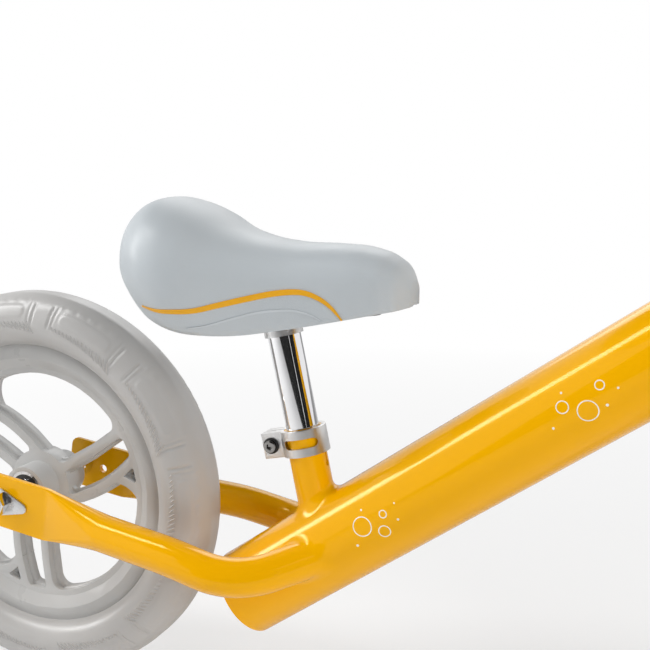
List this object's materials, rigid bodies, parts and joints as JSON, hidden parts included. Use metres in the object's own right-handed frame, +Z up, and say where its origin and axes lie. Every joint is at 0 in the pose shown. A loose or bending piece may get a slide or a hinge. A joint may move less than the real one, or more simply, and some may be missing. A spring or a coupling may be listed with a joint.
{
  "type": "balance bike",
  "caption": "Child's balance bike: thick straight main tube, moulded wheels with foam tyres, padded saddle on a clamped post, steered fork and handlebar.",
  "frame": {"origin": "on the ground, midway between the two axles, on the bike's middle plane", "axes": "+X forwards, +Y to the rider's left, +Z up"},
  "size_m": [0.916, 0.4136, 0.5606],
  "materials": {
    "frame_paint": "glossy powder coat",
    "bar_paint": "glossy powder coat",
    "tyre_foam": "matt moulded foam",
    "rim_plastic": "satin moulded plastic",
    "bearing_steel": "ground",
    "black_rubber": "satin",
    "zinc_steel": "bright zinc plate",
    "chrome_steel": "polished",
    "black_steel": "black",
    "matt_aluminium": "bead blasted",
    "grip_rubber": "matt",
    "black_plastic": "moulded",
    "saddle_skin": "smooth moulded skin"
  },
  "bodies": {
    "frame": {"main_tube": "frame_paint", "main_tube_cap": "frame_paint", "head_tube": "frame_paint", "seat_tube": "frame_paint", "right_stay": "frame_paint", "left_stay": "frame_paint", "frame_welds": "frame_paint", "lower_headset_cup": "black_steel", "upper_headset_cup": "black_steel", "seat_clamp": "matt_aluminium", "seat_clamp_bolt": "zinc_steel", "seat_clamp_nut": "zinc_steel", "rear_axle": "zinc_steel", "rear_bearing_inner_rings": "bearing_steel", "rear_hub_spacer": "zinc_steel", "rear_cone_nuts": "chrome_steel", "rear_axle_washers": "zinc_steel", "rear_axle_nuts": "chrome_steel"},
    "rear_wheel": {"rear_tyre": "tyre_foam", "rear_rim": "rim_plastic", "rear_bearing_outer_rings": "bearing_steel", "rear_bearing_balls": "bearing_steel", "rear_bearing_seals": "black_rubber"},
    "fork": {"steerer_tube": "frame_paint", "fork_crown": "frame_paint", "right_fork_leg": "frame_paint", "left_fork_leg": "frame_paint", "fork_leg_plugs": "frame_paint", "crown_race": "bearing_steel", "headset_cone": "chrome_steel", "headset_locknut": "chrome_steel", "lower_headset_balls": "bearing_steel", "upper_headset_balls": "bearing_steel", "stem_clamp": "matt_aluminium", "stem_clamp_bolt": "zinc_steel", "stem_clamp_nut": "zinc_steel", "front_axle": "zinc_steel", "front_bearing_inner_rings": "bearing_steel", "front_hub_spacer": "zinc_steel", "front_cone_nuts": "chrome_steel", "front_axle_washers": "zinc_steel", "front_axle_nuts": "chrome_steel"},
    "front_wheel": {"front_tyre": "tyre_foam", "front_rim": "rim_plastic", "front_bearing_outer_rings": "bearing_steel", "front_bearing_balls": "bearing_steel", "front_bearing_seals": "black_rubber"},
    "handlebar": {"stem_tube": "chrome_steel", "handlebar": "bar_paint", "right_grip": "grip_rubber", "left_grip": "grip_rubber"},
    "seat": {"seat_post": "chrome_steel", "saddle_bracket": "zinc_steel", "saddle_base": "black_plastic", "saddle_cover": "saddle_skin", "saddle_screws": "zinc_steel"}
  },
  "joints": [
    {"name": "rear_wheel_spin", "type": "hinge", "parent": "frame", "child": "rear_wheel", "pos_m": [-0.3125, 0, 0.1455], "axis": [0, 1, 0], "continuous": true},
    {"name": "steering", "type": "hinge", "parent": "frame", "child": "fork", "pos_m": [0.29823, 0, 0.14086], "axis": [-0.309, 0, 0.9511], "continuous": true},
    {"name": "front_wheel_spin", "type": "hinge", "parent": "fork", "child": "front_wheel", "pos_m": [0.3125, 0, 0.1455], "axis": [0, 1, 0], "continuous": true},
    {"name": "handlebar_height", "type": "slide", "parent": "fork", "child": "handlebar", "axis": [-0.309, 0, 0.9511], "range_m": [-0.03, 0.03]},
    {"name": "seat_height", "type": "slide", "parent": "frame", "child": "seat", "axis": [-0.2062, 0, 0.9785], "range_m": [-0.008, 0.055]}
  ]
}
